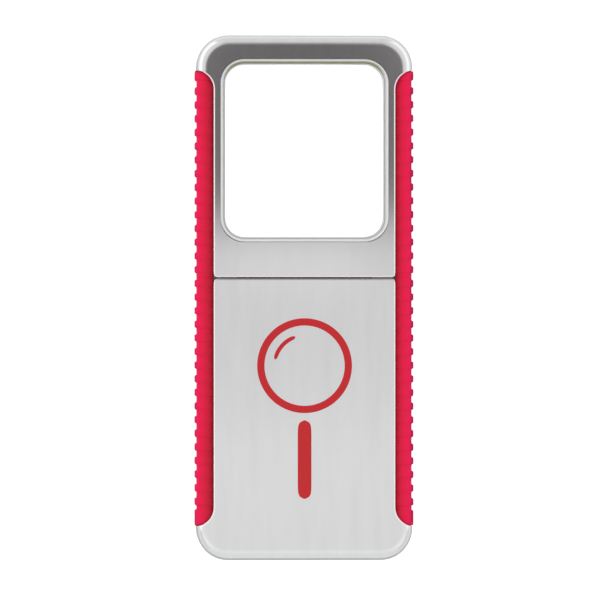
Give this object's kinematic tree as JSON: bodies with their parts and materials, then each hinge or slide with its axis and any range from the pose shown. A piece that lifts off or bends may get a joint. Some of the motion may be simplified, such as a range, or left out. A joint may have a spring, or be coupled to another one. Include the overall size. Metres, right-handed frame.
{
  "type": "slide-out lighted pocket magnifier",
  "caption": "Slim silver pocket magnifier with a rectangular lens in a head that pulls out of the handle, ribbed red rubber side grips and a sliding battery door.",
  "frame": {"origin": "middle of the outline, on the plane of the flat back", "axes": "+X to the right across the front face, +Y along the length towards the lens end, +Z out of the front face"},
  "size_m": [0.048, 0.1152, 0.012],
  "materials": {
    "silver_shell": "satin metallic lacquer on ABS",
    "red_rubber": "matte overmoulded elastomer",
    "clear_acrylic": "polished, clear",
    "pale_trim": "smooth, slightly translucent",
    "black_plastic": "fine texture",
    "board_green": "solder mask",
    "coin_cell": "nickel plated",
    "contact_brass": "bright",
    "spring_steel": "bright zinc plated",
    "led_body": "white case, yellow phosphor"
  },
  "bodies": {
    "handle": {"handle_front_cover": "silver_shell", "handle_rear_cover": "silver_shell", "handle_grip_left": "red_rubber", "handle_grip_right": "red_rubber", "battery_holder": "black_plastic", "rear_coin_cell": "coin_cell", "front_coin_cell": "coin_cell", "contact_board": "board_green", "negative_contact": "contact_brass", "positive_contact": "contact_brass", "detent_spring_left": "spring_steel", "detent_spring_right": "spring_steel", "handle_screw_1": "spring_steel", "handle_screw_2": "spring_steel", "handle_screw_3": "spring_steel", "handle_screw_4": "spring_steel"},
    "lens_head": {"lens_front_bezel": "silver_shell", "lens_rear_bezel": "silver_shell", "lens": "clear_acrylic", "lens_trim_ring": "pale_trim", "led_window": "clear_acrylic", "slide_carriage": "black_plastic", "carriage_lid": "black_plastic", "led_board": "board_green", "resistor": "black_plastic", "led_left": "led_body", "led_right": "led_body", "contact_finger_left": "contact_brass", "contact_finger_right": "contact_brass", "head_grip_left": "red_rubber", "head_grip_right": "red_rubber", "head_screw_1": "spring_steel", "head_screw_2": "spring_steel", "head_screw_3": "spring_steel", "head_screw_4": "spring_steel"},
    "battery_door": {"battery_door": "silver_shell"}
  },
  "joints": [
    {"name": "head_slide", "type": "slide", "parent": "handle", "child": "lens_head", "axis": [0, 1, 0], "range_m": [0, 0.02]},
    {"name": "battery_door_slide", "type": "slide", "parent": "handle", "child": "battery_door", "axis": [0, -1, 0], "range_m": [0, 0.03]}
  ]
}
